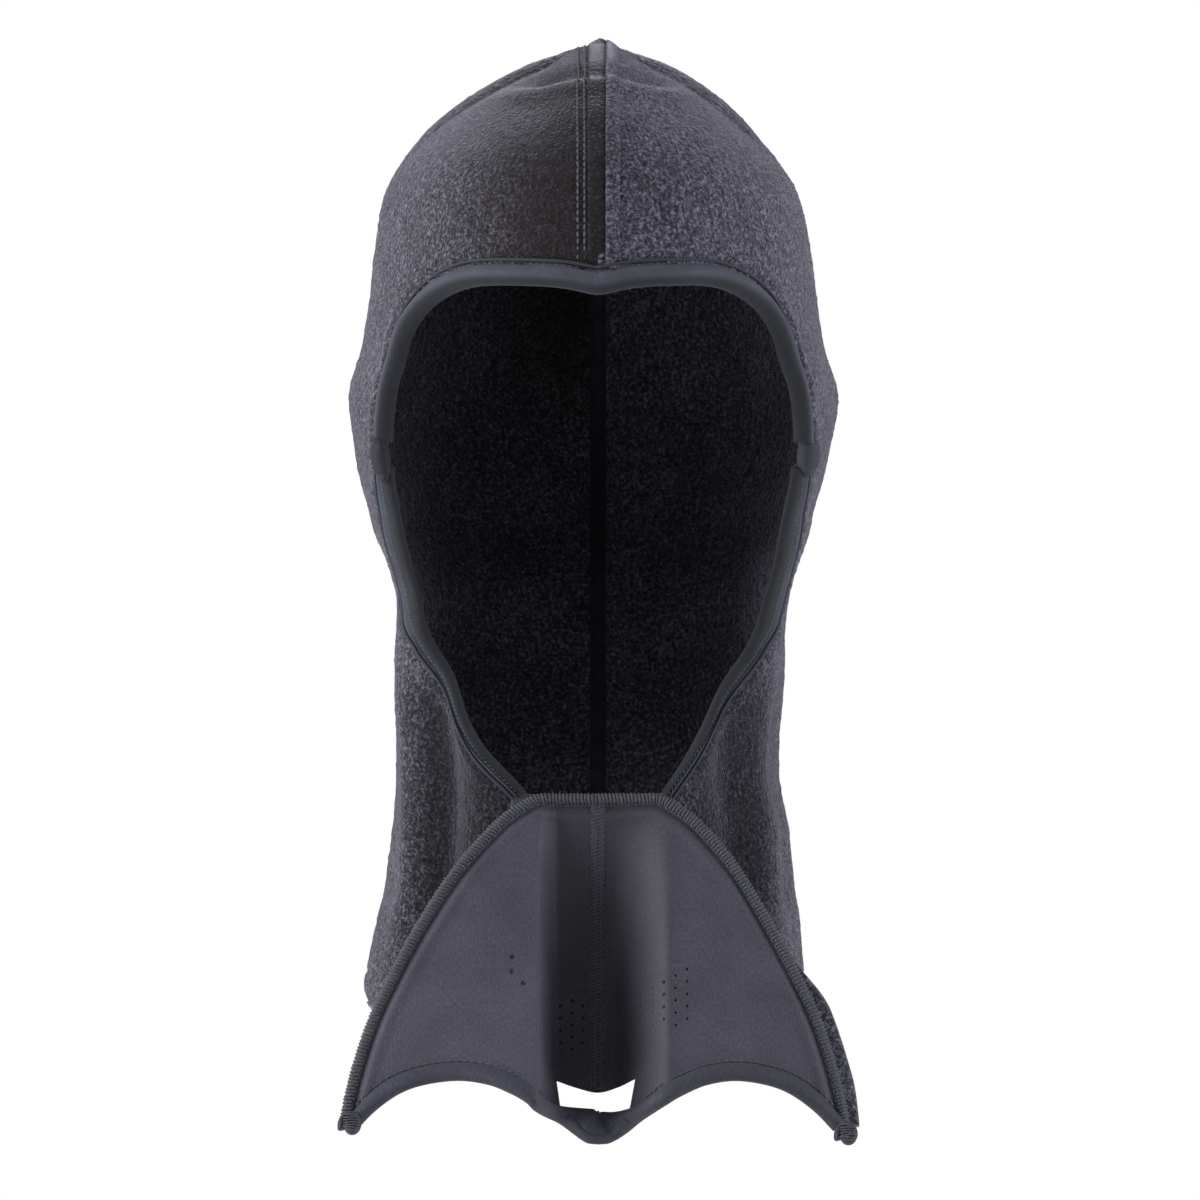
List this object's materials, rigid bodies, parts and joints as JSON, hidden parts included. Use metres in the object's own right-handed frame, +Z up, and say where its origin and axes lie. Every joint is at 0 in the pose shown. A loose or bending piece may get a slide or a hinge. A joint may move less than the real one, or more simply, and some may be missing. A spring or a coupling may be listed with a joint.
{
  "type": "balaclava",
  "caption": "Fleece balaclava with a face opening bound in jersey, and a smooth lower-face mask with a nose opening, folded down from the chin.",
  "frame": {"origin": "the point inside the crown that rests on top of the wearer's head", "axes": "+Z up, towards the crown; the wearer faces -Y; +X is the wearer's left"},
  "size_m": [0.1696, 0.2133, 0.3673],
  "materials": {
    "fleece": "charcoal brushed fleece",
    "jersey": "slate jersey",
    "laminate": "dark slate stretch laminate, matte",
    "serging": "dark overlock thread",
    "thread": "dark sewing thread"
  },
  "bodies": {
    "hood": {"hood_panel_left": "fleece", "hood_panel_right": "fleece", "crown_seam_welt": "fleece", "crown_stitches_outer": "thread", "crown_stitches_inner": "thread", "throat_seam_welt": "fleece", "neck_hem_stitches": "thread", "brow_binding": "jersey", "brow_stitches": "thread", "temple_tab_left": "jersey", "temple_tab_right": "jersey", "cheek_binding_left": "jersey", "cheek_binding_right": "jersey", "cheek_stitches_left": "thread", "cheek_stitches_right": "thread", "chin_binding": "jersey"},
    "mask": {"mask_middle_left": "laminate", "mask_middle_right": "laminate", "mask_centre_seam": "laminate", "mask_seam_stitches_left": "thread", "mask_seam_stitches_right": "thread", "mask_fold_overlock": "serging", "nose_bridge_band": "laminate"},
    "wing_left": {"mask_wing_left": "laminate", "wing_hem_left": "laminate", "wing_hem_stitches_left": "thread", "wing_overlock_left": "serging", "corner_tack_left": "serging"},
    "wing_right": {"mask_wing_right": "laminate", "wing_hem_right": "laminate", "wing_hem_stitches_right": "thread", "wing_overlock_right": "serging", "corner_tack_right": "serging"}
  },
  "joints": [
    {"name": "mask_fold", "type": "hinge", "parent": "hood", "child": "mask", "pos_m": [0, -0.07168, -0.2475], "axis": [-1, 0, 0], "range_deg": [0, 142]},
    {"name": "wing_fold_left", "type": "hinge", "parent": "mask", "child": "wing_left", "pos_m": [0.018, -0.07308, -0.24696], "axis": [0, -0.3584, -0.9336], "range_deg": [0, 45]},
    {"name": "wing_fold_right", "type": "hinge", "parent": "mask", "child": "wing_right", "pos_m": [-0.018, -0.07308, -0.24696], "axis": [0, 0.3584, 0.9336], "range_deg": [0, 45]}
  ]
}
